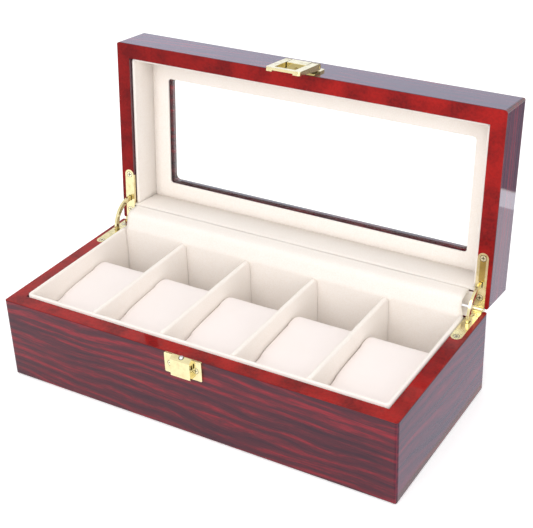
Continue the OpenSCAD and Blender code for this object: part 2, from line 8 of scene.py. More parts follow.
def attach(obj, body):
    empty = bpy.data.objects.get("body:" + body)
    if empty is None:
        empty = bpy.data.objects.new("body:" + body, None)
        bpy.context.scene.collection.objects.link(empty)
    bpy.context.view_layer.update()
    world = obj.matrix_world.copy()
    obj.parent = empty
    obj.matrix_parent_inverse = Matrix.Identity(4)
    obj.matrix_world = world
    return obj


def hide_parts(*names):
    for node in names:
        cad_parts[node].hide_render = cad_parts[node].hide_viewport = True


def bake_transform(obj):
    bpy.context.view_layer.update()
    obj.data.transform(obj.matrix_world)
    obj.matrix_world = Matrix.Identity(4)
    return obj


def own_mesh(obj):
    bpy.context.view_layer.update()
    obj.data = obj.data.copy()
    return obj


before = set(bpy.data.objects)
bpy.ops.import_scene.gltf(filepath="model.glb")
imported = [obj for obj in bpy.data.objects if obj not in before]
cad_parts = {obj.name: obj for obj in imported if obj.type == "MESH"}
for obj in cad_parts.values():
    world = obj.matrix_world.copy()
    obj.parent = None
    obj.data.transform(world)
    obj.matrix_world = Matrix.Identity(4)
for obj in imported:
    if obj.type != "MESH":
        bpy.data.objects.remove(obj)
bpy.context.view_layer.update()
print("frame loaded")

scene = bpy.context.scene
scene.view_settings.view_transform = "Standard"
mm = 0.001
weld = 0.001 * mm       # points nearer than this are one


# a socket takes a number or a colour, or another node's output
def feed(tree, socket, value):
    if isinstance(value, bpy.types.NodeSocket):
        tree.links.new(value, socket)
    else:
        socket.default_value = value


# a node with its settings, and its inputs fed by name or number
def addNode(tree, kind, inputs=None, **settings):
    node = tree.nodes.new("ShaderNode" + kind)
    for key, value in settings.items():
        setattr(node, key, value)
    for key, value in (inputs or {}).items():
        feed(tree, node.inputs[key], value)
    return node


def mixColour(tree, factor, a, b):
    return addNode(tree, "Mix", {"Factor": factor, 6: a, 7: b}, data_type="RGBA").outputs[2]


def mathNode(tree, operation, a, b=0.0, clamp=False):
    return addNode(tree, "Math", {0: a, 1: b}, operation=operation, use_clamp=clamp).outputs[0]


# 0 below low and 1 above high, or the other way round where low is the greater
def smoothRange(tree, value, low, high, toLow=0.0, toHigh=1.0):
    inputs = {"Value": value, "From Min": low, "From Max": high, "To Min": toLow, "To Max": toHigh}
    return addNode(tree, "MapRange", inputs, interpolation_type="SMOOTHSTEP").outputs["Result"]


# noise from 0 to 1; stretch multiplies the vector first, axis by axis
def noise(tree, vector, scale, detail, roughness, stretch=None, distortion=0.0):
    if stretch:
        vector = addNode(tree, "VectorMath", {0: vector, 1: stretch},
                         operation="MULTIPLY").outputs[0]
    inputs = {"Vector": vector, "Scale": scale, "Detail": detail, "Roughness": roughness,
              "Distortion": distortion}
    return addNode(tree, "TexNoise", inputs).outputs["Fac"]


# 1 on rays of the named kinds, 0 on all others
def rayMask(tree, *kinds):
    path = addNode(tree, "LightPath")
    mask = path.outputs[f"Is {kinds[0]} Ray"]
    for kind in kinds[1:]:
        mask = mathNode(tree, "MAXIMUM", mask, path.outputs[f"Is {kind} Ray"])
    return mask


# a node material with constants on the shader's own sockets
def newMaterial(name, constants):
    material = bpy.data.materials.new(name)
    material.use_nodes = True
    shader = material.node_tree.nodes["Principled BSDF"]
    for key, value in constants.items():
        shader.inputs[key].default_value = value
    return material, material.node_tree, shader.inputs


def addObject(name, data):
    thing = bpy.data.objects.new(name, data)
    scene.collection.objects.link(thing)
    return thing


def addMesh(name, points, faces, material):
    mesh = bpy.data.meshes.new(name)
    mesh.from_pydata(points, [], faces)
    mesh.materials.append(material)
    return addObject(name, mesh)


cameraSettings = {
    "place": (0.32132, -0.48701, 0.40777),   # metres
    "forward": (-0.45980, 0.73898, -0.49244),
    "right": (0.85874, 0.51125, -0.03462),
    "focalPixels": 1210.86,                  # on a frame 533 pixels wide
    "frameWidth": 533,
    "sensor": 36.0,
    "clipStart": 0.01,
}


def makeCamera(s):
    data = bpy.data.cameras.new("camera")
    data.sensor_width = s["sensor"]
    data.lens = s["focalPixels"] * s["sensor"] / s["frameWidth"]
    data.clip_start = s["clipStart"]
    forward = Vector(s["forward"]).normalized()
    right = Vector(s["right"])
    right = (right - forward * right.dot(forward)).normalized()
    turn = Matrix((right, right.cross(forward), -forward)).transposed()
    camera = addObject("camera", data)
    camera.matrix_world = Matrix.Translation(s["place"]) @ turn.to_4x4()
    scene.camera = camera


studio = {
    "floorColour": (0.93, 0.93, 0.935, 1.0), "floorRough": 0.9, "floorSpecular": 0.1,
    "floorReach": 4.0,          # metres
    "floorGlow": 0.40,          # seen by the camera and by gloss only
    "worldColour": (1.0, 1.0, 1.0, 1.0),
    "worldLight": 0.82,
    "worldShown": 1.0,          # background seen by camera, gloss and glass
    "lamps": {
        # name: place, point it faces, size in metres, watts
        "keyFront": ((-0.12, -1.00, 1.00), (0.0, 0.0, 0.05), 0.80, 4.4),
        "fillRight": ((0.80, -0.80, 0.55), (0.0, 0.0, 0.06), 0.80, 3.2),
    },
    "cards": {
        # name: glow and four corners of a card that only gloss sees
        "flagBehind": ((0.12, 0.12, 0.13), [
            (-0.41, 0.45, 0.36), (0.20, 0.45, 0.36), (0.20, 0.45, 0.90), (-0.41, 0.45, 0.90)]),
        "cardBehind": ((1.13, 1.21, 1.48), [
            (-0.50, 0.45, 0.20), (0.10, 0.45, 0.20), (0.10, 0.45, 0.31), (-0.50, 0.45, 0.31)]),
        "flagRight": ((0.30, 0.29, 0.39), [
            (0.14, 0.290, 0.004), (0.24, 0.303, 0.004), (0.70, 1.40, 0.004),
            (0.14, 1.40, 0.004)]),
        "edgeRight": ((1.95, 2.00, 2.23), [
            (0.14, 0.268, 0.003), (0.24, 0.275, 0.003), (0.24, 0.303, 0.003),
            (0.14, 0.290, 0.003)]),
        "cardNear": ((0.98, 1.00, 1.18), [
            (0.1275, -0.20, 0.001), (0.24, -0.20, 0.001), (0.24, 0.145, 0.001),
            (0.1275, 0.145, 0.001)]),
        "cardRight": ((1.10, 1.06, 1.23), [
            (0.145, 0.145, 0.002), (0.26, 0.145, 0.002), (0.26, 0.275, 0.002),
            (0.145, 0.275, 0.002)]),
    },
}


# one plain colour for every camera, gloss and glass ray, and a weaker one that lights the object
def makeStudio(s):
    world = bpy.data.worlds.new("studio")
    scene.world = world
    world.use_nodes = True
    tree = world.node_tree
    tree.nodes.clear()
    strength = addNode(tree, "MapRange", {
        "Value": rayMask(tree, "Camera", "Glossy", "Transmission"),
        "To Min": s["worldLight"], "To Max": s["worldShown"]})
    background = addNode(tree, "Background", {
        "Color": s["worldColour"], "Strength": strength.outputs[0]})
    addNode(tree, "OutputWorld", {"Surface": background.outputs[0]})

    material, tree, sockets = newMaterial("floorPaper", {
        "Base Color": s["floorColour"], "Roughness": s["floorRough"],
        "Specular IOR Level": s["floorSpecular"], "Emission Color": (1, 1, 1, 1)})
    glow = mathNode(tree, "MULTIPLY", rayMask(tree, "Camera", "Glossy"), s["floorGlow"])
    feed(tree, sockets["Emission Strength"], glow)
    far = s["floorReach"]
    corners = [(-far, -far, 0), (far, -far, 0), (far, far, 0), (-far, far, 0)]
    addMesh("floor", corners, [(0, 1, 2, 3)], material)

    for name, (place, target, size, watts) in s["lamps"].items():
        lamp = bpy.data.lights.new(name, "AREA")
        lamp.shape = "SQUARE"
        lamp.size = size
        lamp.energy = watts
        holder = addObject(name, lamp)
        holder.location = place
        aim = Vector(target) - Vector(place)
        holder.rotation_euler = aim.to_track_quat("-Z", "Y").to_euler()


# a card is clear to every path that hasn't met a gloss yet
def makeCards(s):
    for name, (glow, corners) in s["cards"].items():
        material, tree, sockets = newMaterial(name, {
            "Base Color": (0, 0, 0, 1), "Roughness": 1.0, "Specular IOR Level": 0.0,
            "Emission Color": (*glow, 1), "Emission Strength": 1.0})
        met = addNode(tree, "LightPath").outputs["Glossy Depth"]
        feed(tree, sockets["Alpha"], mathNode(tree, "GREATER_THAN", met, 0.5))
        card = addMesh(name, corners, [(0, 1, 2, 3)], material)
        card.visible_camera = card.visible_diffuse = card.visible_shadow = False


makeCamera(cameraSettings)
makeStudio(studio)
makeCards(studio)
print("camera and studio made")


# effects that materials share, each one a node group: it takes a vector and the named inputs,
# a colour or a number each, and gives the named outputs
def newGroup(name, inputs, outputs):
    group = bpy.data.node_groups.new(name, "ShaderNodeTree")
    group.interface.new_socket(name="Vector", in_out="INPUT", socket_type="NodeSocketVector")
    for label, value in inputs.items():
        kind = "NodeSocketColor" if isinstance(value, tuple) else "NodeSocketFloat"
        socket = group.interface.new_socket(name=label, in_out="INPUT", socket_type=kind)
        socket.default_value = value
    for label in outputs:
        kind = "NodeSocketColor" if label == "Color" else "NodeSocketFloat"
        group.interface.new_socket(name=label, in_out="OUTPUT", socket_type=kind)
    source, out = group.nodes.new("NodeGroupInput"), group.nodes.new("NodeGroupOutput")
    return group, source.outputs, out.inputs


streaks = {
    # noises drawn out along the grain: detail, roughness, scale along and across it
    "slow": (2.5, 0.55, 5.2, 22.0),
    "fray": (5.0, 0.80, 34.0, 620.0),
    "fade": (2.0, 0.55, 9.0, 95.0),
    "pores": (2.0, 0.60, 90.0, 1700.0),
    "ringShare": 0.20, "fadeShare": 0.70, "poreShare": 0.40,
    "middle": (0.66, 1.00), "bright": (0.94, 1.22), "clear": (0.36, 0.60),     # where each sets in
}


# streaked veneer: growth lines are a sine of the height, bent by a slow noise until some close
# into tongues; a stretched noise breaks their edges and a third one fades them along the grain
def makeStreakGroup(s):
    group, source, out = newGroup("veneerStreaks", {
        "Dark": (0.06, 0.02, 0.03, 1), "Middle": (0.11, 0.02, 0.03, 1),
        "Bright": (0.23, 0.02, 0.04, 1), "Line Density": 185.0, "Bend": 0.034}, ["Color"])

    def drawn(name, vector):
        detail, roughness, along, across = s[name]
        return noise(group, vector, 1.0, detail, roughness, (along, along, across))

    lift = mathNode(group, "MULTIPLY", drawn("slow", source["Vector"]), source["Bend"])
    lift = addNode(group, "CombineXYZ", {"Z": lift}).outputs[0]
    bent = addNode(group, "VectorMath", {0: source["Vector"], 1: lift}, operation="ADD").outputs[0]
    height = addNode(group, "SeparateXYZ", {0: bent}).outputs["Z"]
    turns = mathNode(group, "MULTIPLY", height, source["Line Density"])
    line = mathNode(group, "SINE", mathNode(group, "MULTIPLY", turns, 2 * math.pi))
    ring = mathNode(group, "ADD", mathNode(group, "MULTIPLY", line, 0.5), 0.5)
    faded = mathNode(group, "MULTIPLY", drawn("fade", bent), s["fadeShare"])
    mixed = mathNode(group, "ADD", mathNode(group, "MULTIPLY", ring, s["ringShare"]),
                     mathNode(group, "ADD", drawn("fray", bent), faded))
    low, high = (smoothRange(group, mixed, *s[name]) for name in ("middle", "bright"))
    body = mixColour(group, low, source["Dark"], source["Middle"])
    figured = mixColour(group, high, body, source["Bright"])
    clear = smoothRange(group, drawn("pores", source["Vector"]), *s["clear"])
    pores = mathNode(group, "MULTIPLY", mathNode(group, "SUBTRACT", 1.0, clear), s["poreShare"])
    feed(group, out["Color"], mixColour(group, pores, figured, source["Dark"]))
    return group


# scale, detail and roughness of each noise, where it sets in, and its share
mottle = {"broad": (55.0, 3.0, 0.55), "broadSpan": (0.35, 0.68), "broadShare": 0.55,
          "fine": (620.0, 2.0, 0.6), "fineSpan": (0.40, 0.65), "fineShare": 0.22}


# stained rim: soft cross mottling under lacquer, with fine specks
def makeMottleGroup(s):
    group, source, out = newGroup("rimMottle", {
        "Stain": (0.4, 0.02, 0.02, 1), "Deep": (0.2, 0.01, 0.01, 1)}, ["Color"])
    broad, fine = (smoothRange(group, noise(group, source["Vector"], *s[name]), *s[name + "Span"])
                   for name in ("broad", "fine"))
    both = mathNode(group, "ADD", mathNode(group, "MULTIPLY", broad, s["broadShare"]),
                    mathNode(group, "MULTIPLY", fine, s["fineShare"]), clamp=True)
    feed(group, out["Color"], mixColour(group, both, source["Stain"], source["Deep"]))
    return group


# detail and roughness of each noise, and where it sets in
nap = {"cloud": (3.0, 0.6), "cloudSpan": (0.34, 0.66), "cloudBend": 0.6,
       "speck": (2.0, 0.7), "speckSpan": (0.38, 0.66)}


# short brushed pile: cloudy strokes, where it lies one way or the other, and fine specks
def makeNapGroup(s):
    group, source, out = newGroup("brushedNap", {
        "Colour": (0.9, 0.85, 0.8, 1), "Shade": (0.8, 0.72, 0.65, 1), "Cloud Size": 45.0,
        "Speck Size": 1400.0, "Cloud Share": 0.35, "Speck Share": 0.35}, ["Color", "Height"])
    cloud = noise(group, source["Vector"], source["Cloud Size"], *s["cloud"],
                  distortion=s["cloudBend"])
    speck = noise(group, source["Vector"], source["Speck Size"], *s["speck"])
    clouds = smoothRange(group, cloud, *s["cloudSpan"])
    specks = smoothRange(group, speck, *s["speckSpan"])
    share = mathNode(group, "ADD", mathNode(group, "MULTIPLY", clouds, source["Cloud Share"]),
                     mathNode(group, "MULTIPLY", specks, source["Speck Share"]), clamp=True)
    feed(group, out["Color"], mixColour(group, share, source["Colour"], source["Shade"]))
    feed(group, out["Height"], speck)
    return group


wear = {"smudge": (260.0, 3.0, 0.55), "smudgeSpan": (0.42, 0.70), "tarnishShare": 0.30,
        "hairDetail": 1.0, "hairDrawn": (300.0, 5200.0, 5200.0)}


# handling wear on polished metal: smudges of finger grease and hairline scratches
def makeWearGroup(s):
    group, source, out = newGroup("handlingWear", {
        "Metal": (0.9, 0.75, 0.4, 1), "Tarnish": (0.6, 0.45, 0.2, 1), "Polish": 0.16,
        "Smudge": 0.12}, ["Color", "Roughness", "Height"])
    mask = smoothRange(group, noise(group, source["Vector"], *s["smudge"]), *s["smudgeSpan"])
    tarnished = mathNode(group, "MULTIPLY", mask, s["tarnishShare"])
    feed(group, out["Color"], mixColour(group, tarnished, source["Metal"], source["Tarnish"]))
    smudged = mathNode(group, "MULTIPLY", mask, source["Smudge"])
    feed(group, out["Roughness"], mathNode(group, "ADD", source["Polish"], smudged))
    hairs = noise(group, source["Vector"], 1.0, s["hairDetail"], 0.5, s["hairDrawn"])
    feed(group, out["Height"], hairs)
    return group


streakGroup = makeStreakGroup(streaks)
mottleGroup = makeMottleGroup(mottle)
napGroup = makeNapGroup(nap)
wearGroup = makeWearGroup(wear)
print("node groups made")


# places a group with values of its own and gives its outputs
def useGroup(tree, group, vector, values):
    return addNode(tree, "Group", {"Vector": vector, **values}, node_tree=group).outputs


def bumpFrom(tree, sockets, height, strength, distance):
    bump = addNode(tree, "Bump", {"Height": height, "Strength": strength, "Distance": distance})
    feed(tree, sockets["Normal"], bump.outputs["Normal"])


hinge = {"y": 58.1 * mm, "z": 51.45 * mm, "open": math.radians(95)}


# object coordinates; those of a lid piece can be turned back to the shut box
def objectPlace(tree, shut=False):
    place = addNode(tree, "TexCoord").outputs["Object"]
    if not shut:
        return place
    axis = Vector((0, hinge["y"], hinge["z"]))
    shift = axis - Matrix.Rotation(hinge["open"], 3, "X") @ axis
    return addNode(tree, "Mapping", {"Vector": place, "Rotation": (hinge["open"], 0, 0),
                                     "Location": shift}).outputs[0]


wood = {
    "dark": (0.040, 0.010, 0.022, 1),
    "middle": (0.098, 0.013, 0.025, 1),
    "bright": (0.290, 0.014, 0.027, 1),
    # bright streaks of the end boards, dimmed as painted shade for the weaker light on the box's
    # sides
    "brightShortShaded": (0.205, 0.015, 0.028, 1),
    "rim": (0.400, 0.013, 0.011, 1),
    "rimDeep": (0.090, 0.005, 0.007, 1),
    # how much deeper the lid's rim is stained at its left, and where that sets in
    "lidLeftDeep": 0.38, "lidLeft": (20 * mm, -90 * mm),
    "arris": (0.060, 0.008, 0.014, 1), "arrisShare": 0.7,       # dark line beside the rim
    "corner": (0.420, 0.075, 0.095, 1), "cornerHighlightShare": 0.8,     # painted highlight along the vertical corners
    "halfWidth": 125.0 * mm, "halfDepth": 57.5 * mm, "baseRim": 51.3 * mm, "lidRim": 51.6 * mm,
    # distances inside an edge over which each sets in
    "cornerSpan": (0.9 * mm, 0.3 * mm), "rimSpan": (0.30 * mm, 0.10 * mm),
    "arrisSpan": (0.80 * mm, 0.30 * mm),
    "rough": 0.55, "specular": 0.05,
    "coatRough": 0.05, "coatIOR": 1.34, "lidCoatIOR": 1.60,
    "rimCoat": 0.60, "lidRimCoat": 0.09,
    "ripple": (140.0, 2.0, 0.5), "rippleStrength": 0.05, "rippleHeight": 0.2 * mm,
    # how the veneer lies: turned and shifted to run along the depth, or level on the lid's top
    "alongDepth": ((0, 0, -math.pi / 2), (0.31, 0.17, 0.013)),
    "level": ((math.pi / 2, 0, 0), (0.12, 0.05, 0.029)),
}


# lacquered board: streaked veneer outside, stained red on the rim, which is found by its
# height in the shut box, so a lid board first turns its coordinates back to shut
def makeLacquer(name, s, onLid=False, lie=None):
    material, tree, sockets = newMaterial(name, {
        "Roughness": s["rough"], "Specular IOR Level": s["specular"],
        "Coat Roughness": s["coatRough"], "Coat IOR": s["lidCoatIOR"] if onLid else s["coatIOR"]})
    rim, inward = (s["lidRim"], -1) if onLid else (s["baseRim"], 1)
    place = objectPlace(tree, shut=onLid)
    turn, shift = s[lie] if lie else ((0, 0, 0), (0, 0, 0))
    grain = addNode(tree, "Mapping", {"Vector": place, "Rotation": turn, "Location": shift})
    # boards laid along the depth take the dimmer bright streaks, painted shade
    figure = useGroup(tree, streakGroup, grain.outputs[0], {
        "Dark": s["dark"], "Middle": s["middle"],
        "Bright": s["brightShortShaded"] if lie == "alongDepth" else s["bright"]})["Color"]
    stain = useGroup(tree, mottleGroup, place, {"Stain": s["rim"], "Deep": s["rimDeep"]})["Color"]
    x, y, height = addNode(tree, "SeparateXYZ", {0: place}).outputs

    def reach(value, edge, span, side=1):
        return smoothRange(tree, value, edge - side * span[0], edge - side * span[1])

    # painted highlight: a lighter pink-red line down the four vertical corners, where the rounding
    # catches the light
    corner = mathNode(tree, "MULTIPLY",
                      reach(mathNode(tree, "ABSOLUTE", x), s["halfWidth"], s["cornerSpan"]),
                      reach(mathNode(tree, "ABSOLUTE", y), s["halfDepth"], s["cornerSpan"]))
    if onLid:
        left = smoothRange(tree, x, *s["lidLeft"], 0.0, s["lidLeftDeep"])
        stain = mixColour(tree, left, stain, s["rimDeep"])
    rimMask = reach(height, rim, s["rimSpan"], inward)
    arris = mathNode(tree, "MULTIPLY", reach(height, rim, s["arrisSpan"], inward), s["arrisShare"])
    cornerHighlight = mathNode(tree, "MULTIPLY", corner, s["cornerHighlightShare"])
    edged = mixColour(tree, arris, mixColour(tree, cornerHighlight, figure, s["corner"]), s["arris"])
    feed(tree, sockets["Base Color"], mixColour(tree, rimMask, edged, stain))
    shine = addNode(tree, "MapRange", {
        "Value": rimMask, "To Min": 1.0, "To Max": s["lidRimCoat"] if onLid else s["rimCoat"]})
    feed(tree, sockets["Coat Weight"], shine.outputs[0])
    bumpFrom(tree, sockets, noise(tree, place, *s["ripple"]), s["rippleStrength"],
             s["rippleHeight"])
    return material


lining = {
    "colour": (0.988, 0.935, 0.885, 1), "shade": (0.950, 0.880, 0.812, 1),
    "cloudSize": 45.0, "speckSize": 1400.0, "cloudShare": 0.20, "speckShare": 0.80,
    "rough": 0.95, "specular": 0.15, "sheen": 0.25, "sheenRough": 0.45,
    "bump": 0.35, "pile": 0.15 * mm,
}
suede = {
    "colour": (0.985, 0.918, 0.895, 1), "shade": (0.940, 0.862, 0.825, 1),
    "cloudSize": 30.0, "speckSize": 2600.0, "cloudShare": 0.22, "speckShare": 0.22,
    "rough": 0.85, "specular": 0.20, "sheen": 0.18, "sheenRough": 0.40,
    "bump": 0.25, "pile": 0.08 * mm,
}
felt = {
    "colour": (0.055, 0.040, 0.040, 1), "shade": (0.022, 0.016, 0.017, 1),
    "cloudSize": 80.0, "speckSize": 900.0, "cloudShare": 0.40, "speckShare": 0.60,
    "rough": 1.0, "specular": 0.50, "sheen": 0.30, "sheenRough": 0.50,
    "bump": 0.60, "pile": 0.3 * mm,
}


# napped cloth: velvet, suede or felt
def makeNap(name, s):
    material, tree, sockets = newMaterial(name, {
        "Roughness": s["rough"], "Specular IOR Level": s["specular"],
        "Sheen Weight": s["sheen"], "Sheen Roughness": s["sheenRough"]})
    pile = useGroup(tree, napGroup, objectPlace(tree), {
        "Colour": s["colour"], "Shade": s["shade"], "Cloud Size": s["cloudSize"],
        "Speck Size": s["speckSize"], "Cloud Share": s["cloudShare"],
        "Speck Share": s["speckShare"]})
    feed(tree, sockets["Base Color"], pile["Color"])
    bumpFrom(tree, sockets, pile["Height"], s["bump"], s["pile"])
    return material


metal = {
    # colour, tarnish, roughness of the polish and what a smudge adds to it
    "gold": ((0.850, 0.755, 0.440, 1), (0.520, 0.420, 0.170, 1), 0.13, 0.12),
    "screw": ((0.920, 0.860, 0.620, 1), (0.640, 0.540, 0.280, 1), 0.20, 0.12),
    # painted shade for the gaps round the screw heads and the ball, and for the heads' cross slots
    "paintedSeamShade": ((0.060, 0.045, 0.020, 1), (0.030, 0.022, 0.010, 1), 0.45, 0.10),
    "steel": ((0.720, 0.730, 0.750, 1), (0.450, 0.450, 0.460, 1), 0.10, 0.10),
    # painted patches on lid fittings, a painted shade on the latch plate inside the hasp's window
    # and a painted reflection on the right lid leaf: colour, then low and high corner in mm on the
    # shut box
    # painted shade on the latch plate inside the hasp's window
    "latchPaintedShade": ((0.360, 0.290, 0.120, 1), (-20.0, -62.9, 40.0), (20.0, -50.0, 59.0)),
    # painted reflection of something dark, on the right lid leaf only
    "leafPaintedReflection": ((0.500, 0.360, 0.110, 1), (117.4, 25.2, 50.0), (121.3, 41.5, 53.0)),
    "paintedPatchFade": 0.4,
    "scratch": 0.04, "scratchDepth": 0.05 * mm,
}


# handled metal; inside the box of its painted patch (painted shade on the latch plate, painted
# reflection on the lid leaf) it takes the patch's colour
def makeMetal(name, s, finish, paintedPatch=None):
    colour, tarnish, polish, smudge = s[finish]
    material, tree, sockets = newMaterial(name, {"Metallic": 1.0})
    worn = useGroup(tree, wearGroup, objectPlace(tree), {
        "Metal": colour, "Tarnish": tarnish, "Polish": polish, "Smudge": smudge})
    shown = worn["Color"]
    if paintedPatch:
        patchColour, lowCorner, highCorner = s[paintedPatch]
        inside, fade = 1.0, s["paintedPatchFade"]
        split = addNode(tree, "SeparateXYZ", {0: objectPlace(tree, shut=True)}).outputs
        for at, low, high in zip(split, lowCorner, highCorner):
            for start, end in ((low, low + fade), (high, high - fade)):
                step = smoothRange(tree, at, start * mm, end * mm)
                inside = mathNode(tree, "MULTIPLY", inside, step)
        # the painted patch's dark colour inside the box
        shown = mixColour(tree, inside, shown, patchColour)
    feed(tree, sockets["Base Color"], shown)
    feed(tree, sockets["Roughness"], worn["Roughness"])
    bumpFrom(tree, sockets, worn["Height"], s["scratch"], s["scratchDepth"])
    return material


glass = {"tint": (0.97, 1.0, 0.985, 1), "ior": 1.45,
         "film": (25.0, 2.0, 0.5), "filmSpan": (0.4, 0.7), "filmRough": 0.03}


# clear pane with a faint film; lamps and soft light pass straight through it
def makeGlass(name, s):
    material, tree, sockets = newMaterial(name, {
        "Base Color": s["tint"], "Transmission Weight": 1.0, "IOR": s["ior"]})
    low, high = s["filmSpan"]
    rough = addNode(tree, "MapRange", {
        "Value": noise(tree, objectPlace(tree), *s["film"]),
        "From Min": low, "From Max": high, "To Min": 0.0, "To Max": s["filmRough"]})
    feed(tree, sockets["Roughness"], rough.outputs[0])
    passing = rayMask(tree, "Shadow", "Diffuse")
    feed(tree, sockets["Alpha"], mathNode(tree, "SUBTRACT", 1.0, passing))
    return material


baseLong = makeLacquer("lacquerBaseLong", wood)
baseShort = makeLacquer("lacquerBaseShort", wood, lie="alongDepth")
lidLong = makeLacquer("lacquerLidLong", wood, onLid=True)
lidShort = makeLacquer("lacquerLidShort", wood, onLid=True, lie="alongDepth")
lidTop = makeLacquer("lacquerLidTop", wood, onLid=True, lie="level")
velvet = makeNap("creamVelvet", lining)
suedeCover = makeNap("pillowSuede", suede)
gold = makeMetal("paleGold", metal, "gold")
latchGoldPaintedShade = makeMetal("latchGoldPaintedShade", metal, "gold", "latchPaintedShade")
leafGoldPaintedReflection = makeMetal("leafGoldPaintedReflection", metal, "gold", "leafPaintedReflection")
screwGold = makeMetal("screwGold", metal, "screw")
seamShadeGold = makeMetal("seamShadeGold", metal, "paintedSeamShade")
steel = makeMetal("brightSteel", metal, "steel")

cadFinishes = {     # every other CAD node is velvet
    "base_front_panel": baseLong, "base_back_panel": baseLong, "base_bottom_panel": baseLong,
    "base_left_panel": baseShort, "base_right_panel": baseShort,
    "lid_front_panel": lidLong, "lid_back_panel": lidLong,
    "lid_left_panel": lidShort, "lid_right_panel": lidShort, "lid_top_frame": lidTop,
    "glass_pane": makeGlass("clearGlass", glass), "base_felt": makeNap("darkFelt", felt),
    "hinge_pin_left": gold, "hinge_pin_right": gold, "latch_pin": gold,
}
for name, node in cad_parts.items():
    node.data.materials.clear()
    node.data.materials.append(cadFinishes.get(name, velvet))
print("materials made")


# points of the shut lid, turned about the hinge axis to its open stop
def openLid(points):
    c, s = math.cos(-hinge["open"]), math.sin(-hinge["open"])
    out = np.array(points, float)
    y, z = points[..., 1] - hinge["y"], points[..., 2] - hinge["z"]
    out[..., 1] = hinge["y"] + y * c - z * s
    out[..., 2] = hinge["z"] + y * s + z * c
    return out


# points (rows, columns, 3) become quads, with each row closed on itself; the rows run round
# in a ring, or else the first and the last are each closed by one face
def gridMesh(name, points, material, ring=False):
    rows, columns = points.shape[:2]
    index = np.arange(rows * columns).reshape(rows, columns)
    row, below = (index, np.roll(index, -1, 0)) if ring else (index[:-1], index[1:])
    quads = np.stack([row, np.roll(row, -1, 1), np.roll(below, -1, 1), below], -1)
    faces = quads.reshape(-1, 4).tolist()
    if not ring:
        faces += [index[0, ::-1].tolist(), index[-1].tolist()]
    piece = addMesh(name, points.reshape(-1, 3).tolist(), faces, material)
    work = bmesh.new()
    work.from_mesh(piece.data)
    bmesh.ops.remove_doubles(work, verts=work.verts, dist=weld)
    bmesh.ops.recalc_face_normals(work, faces=work.faces)
    work.to_mesh(piece.data)
    work.free()
    piece.data.shade_smooth()
    return piece


# every profile point (u, v) stands at path + u * side, raised by v; one profile serves the
# whole path, or there is one for each of its points
def sweepPoints(path, side, profile):
    profile = np.broadcast_to(profile, (len(path), *profile.shape[-2:]))
    points = path[:, None] + profile[..., :1] * side[:, None]
    points[..., 2:] += profile[..., 1:]
    return points


# 0 at low, 1 at high and even between
def ramp(value, low, high):
    return np.clip((value - low) / (high - low), 0, 1)


# arc of profile points, angles in degrees
def roundedEnd(centre, radius, start, end, count=9):
    a = np.radians(np.linspace(start, end, count))
    return np.stack([centre[0] + radius * np.cos(a), centre[1] + radius * np.sin(a)], -1)


# sum of a few slow sines along a strip, for hand-laid cloth
def wobble(length, amount, seed):
    rng = np.random.default_rng(seed)
    s = np.linspace(0, 1, length)[:, None]
    turns = np.array([[0.9, 2.3, 4.1]]) * (1 + 0.2 * rng.random((1, 3)))
    return amount * np.sin(2 * np.pi * (s * turns + rng.random((1, 3)))).mean(1)


# U-shaped path inside three walls: left, front, right, with rounded front corners and points
# 2.5 mm apart; side vectors are the path's direction turned a quarter, so they point inwards
def cornerPath(s, back):
    half, front = s["innerWidth"] / 2 * mm, -s["innerDepth"] / 2 * mm
    radius, step = s["corner"] * mm, 2.5 * mm

    def line(a, b):
        n = max(2, int(np.linalg.norm(np.subtract(b, a)) / step))
        return np.linspace(a, b, n, endpoint=False)

    left = line((-half, back), (-half, front + radius))
    flat = np.concatenate([
        left,
        roundedEnd((-half + radius, front + radius), radius, 180, 270, 7),
        line((-half + radius, front), (half - radius, front))[1:],
        roundedEnd((half - radius, front + radius), radius, 270, 360, 7),
        np.linspace((half, front + radius), (half, back), len(left) + 1)[1:],
    ])
    ahead = np.gradient(flat, axis=0)
    ahead /= np.linalg.norm(ahead, axis=1)[:, None]
    level = np.zeros(len(flat))
    return np.stack([*flat.T, level], -1), np.stack([-ahead[:, 1], ahead[:, 0], level], -1)


box = {
    "innerWidth": 232.0, "innerDepth": 97.0, "corner": 2.9, "rim": 51.3, "floor": 5.8,
    "sideLining": 2.5, "middle": 30.0, "lip": 1.7, "gap": 0.05, "groove": 0.45,
    # turns of the lining's section: distance from the wall and height above the rim
    "grooveTurns": ((0.08, -2.2), (0.28, -1.0)), "grooveEnd": -0.1, "faceTurns": (-0.6, -4.0),
    "lipWave": (0.10, 3), "faceWave": (0.06, 4), "faceIn": 0.05,        # amount, seed
    "bayBack": 45.2, "bayFront": -45.8, "bayPitch": 46.0,
    "divider": 3.0, "dividerLip": 1.5, "dividerShort": 0.5, "dividerCut": 1.6,
    "topWave": 0.07, "bellyWave": 0.10, "bellyIn": 0.05, "bellyHeight": 30.0, "bellySpan": 14.0,
}


# padded lining of the left, front and right walls: a strip with a rounded lip, carried
# along the three walls; a narrow groove parts it from the wood
def makeRimLining(s):
    path, side = cornerPath(s, s["bayBack"] * mm)
    n = len(path)
    t, gap, groove, floor, rim = s["sideLining"], s["gap"], s["groove"], s["floor"], s["rim"]
    half = (t - groove) / 2
    outline = np.concatenate([
        [(gap, floor), (gap, s["middle"]), *((u, rim + v) for u, v in s["grooveTurns"]),
         (groove, rim + s["grooveEnd"])],
        roundedEnd((groove + half, rim + s["lip"] - half), half, 180, 0),
        [*((t, rim + v) for v in s["faceTurns"]), (t, s["middle"]), (t, floor)],
    ])
    lipRows, faceRows = slice(4, 15), slice(14, None)
    profile = np.repeat(outline[None], n, 0)
    profile[:, lipRows, 1] += wobble(n, *s["lipWave"])[:, None]
    profile[:, faceRows, 0] += wobble(n, *s["faceWave"])[:, None] - s["faceIn"]
    piece = gridMesh("rimLining", sweepPoints(path, side, profile * mm), velvet)
    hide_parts("base_liner_left", "base_liner_front", "base_liner_right")
    return piece


